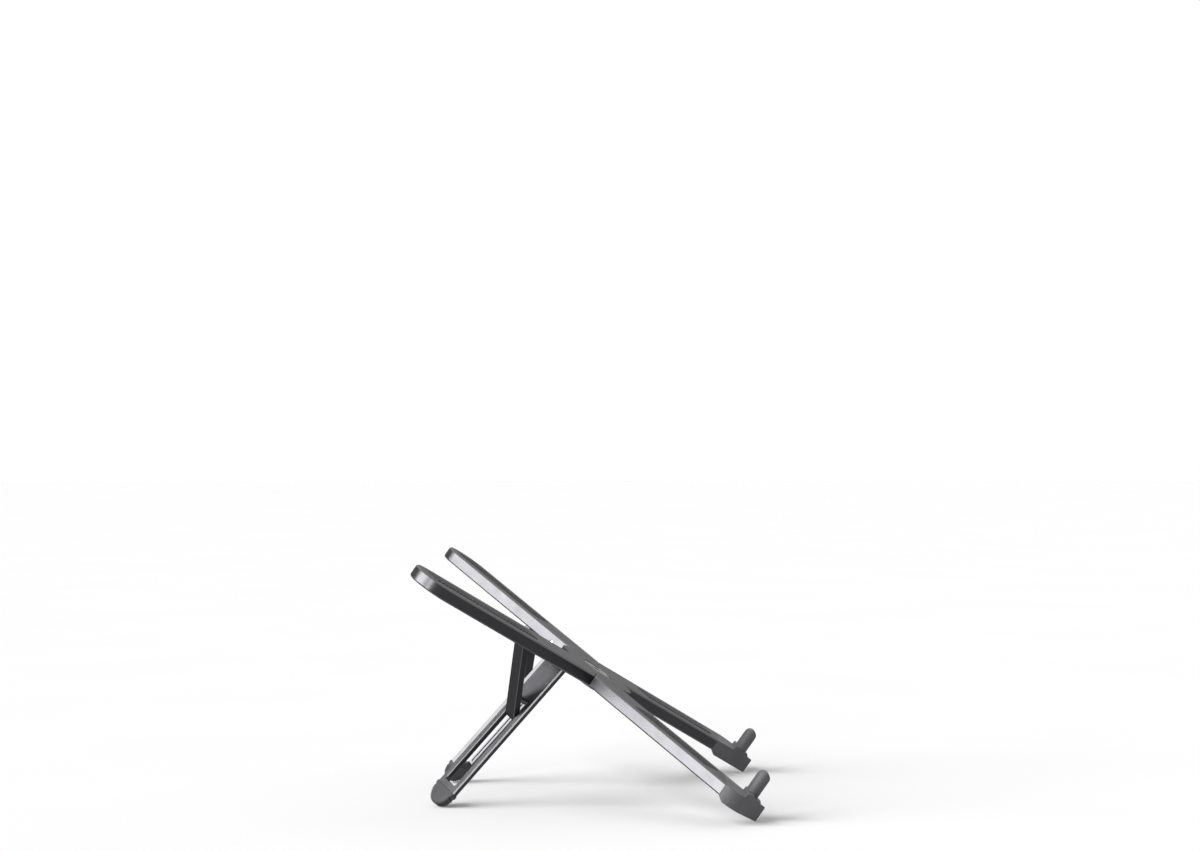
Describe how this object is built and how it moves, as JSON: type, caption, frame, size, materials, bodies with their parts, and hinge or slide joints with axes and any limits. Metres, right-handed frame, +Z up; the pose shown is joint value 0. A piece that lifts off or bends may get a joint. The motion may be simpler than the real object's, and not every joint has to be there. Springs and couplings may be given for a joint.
{
  "type": "foldable laptop stand",
  "caption": "Foldable stand of crossed flat arms on a hub, with slotted rear legs on struts, rubber front caps with upright hooks and grip pads, for raising a laptop at a slope.",
  "frame": {"origin": "on the desk, below the middle of the stand's box", "axes": "+Z up, +Y to the rear, where the arms rise, +X to the user's right"},
  "size_m": [0.2134, 0.1782, 0.1277],
  "materials": {
    "anodised_aluminium": "satin space-grey anodised, with polished bevels",
    "grip_rubber": "matt black silicone with cross grooves",
    "cap_rubber": "matt dark grey moulded rubber",
    "boot_rubber": "matt grey moulded rubber with notches",
    "black_steel": "black oxide",
    "polished_steel": "polished stainless steel",
    "brushed_steel": "turned and brushed",
    "friction_nylon": "black nylon"
  },
  "bodies": {
    "arm_a": {"arm_a": "anodised_aluminium", "rear_pad_a": "grip_rubber", "front_pad_a": "grip_rubber", "front_cap_a": "cap_rubber", "cap_screw_a": "black_steel", "leg_pin_a": "polished_steel", "strut_pin_a": "polished_steel", "hub_pin": "brushed_steel", "friction_washer": "friction_nylon", "spring_washer": "polished_steel", "hub_nut": "brushed_steel"},
    "arm_b": {"arm_b": "anodised_aluminium", "rear_pad_b": "grip_rubber", "front_pad_b": "grip_rubber", "front_cap_b": "cap_rubber", "cap_screw_b": "black_steel", "leg_pin_b": "polished_steel", "strut_pin_b": "polished_steel"},
    "leg_a": {"leg_a": "anodised_aluminium", "boot_a": "boot_rubber"},
    "leg_b": {"leg_b": "anodised_aluminium", "boot_b": "boot_rubber"},
    "strut_a": {"strut_a": "anodised_aluminium", "slide_pin_a": "polished_steel"},
    "strut_b": {"strut_b": "anodised_aluminium", "slide_pin_b": "polished_steel"}
  },
  "joints": [
    {"name": "arms_fold", "type": "hinge", "parent": "arm_a", "child": "arm_b", "pos_m": [0, 0.00267, 0.06188], "axis": [0, -0.5744, 0.8186], "range_deg": [0, 78]},
    {"name": "leg_a_fold", "type": "hinge", "parent": "arm_a", "child": "leg_a", "pos_m": [-0.03403, 0.01775, 0.07442], "axis": [0.7771, 0.5151, 0.3615], "range_deg": [0, 81.7]},
    {"name": "strut_a_swing", "type": "hinge", "parent": "arm_a", "child": "strut_a", "pos_m": [-0.05215, 0.03607, 0.08727], "axis": [0.7771, 0.5151, 0.3615], "range_deg": [0, 122.64]},
    {"name": "leg_b_fold", "type": "hinge", "parent": "arm_b", "child": "leg_b", "pos_m": [0.03403, 0.01775, 0.07442], "axis": [0.7771, -0.5151, -0.3615], "range_deg": [0, 81.7]},
    {"name": "strut_b_swing", "type": "hinge", "parent": "arm_b", "child": "strut_b", "pos_m": [0.05215, 0.03607, 0.08727], "axis": [0.7771, -0.5151, -0.3615], "range_deg": [0, 122.64]}
  ],
  "couplings": [
    {"joint": "strut_a_swing", "follows": "leg_a_fold", "ratio": 1.501},
    {"joint": "strut_b_swing", "follows": "leg_b_fold", "ratio": 1.501}
  ]
}
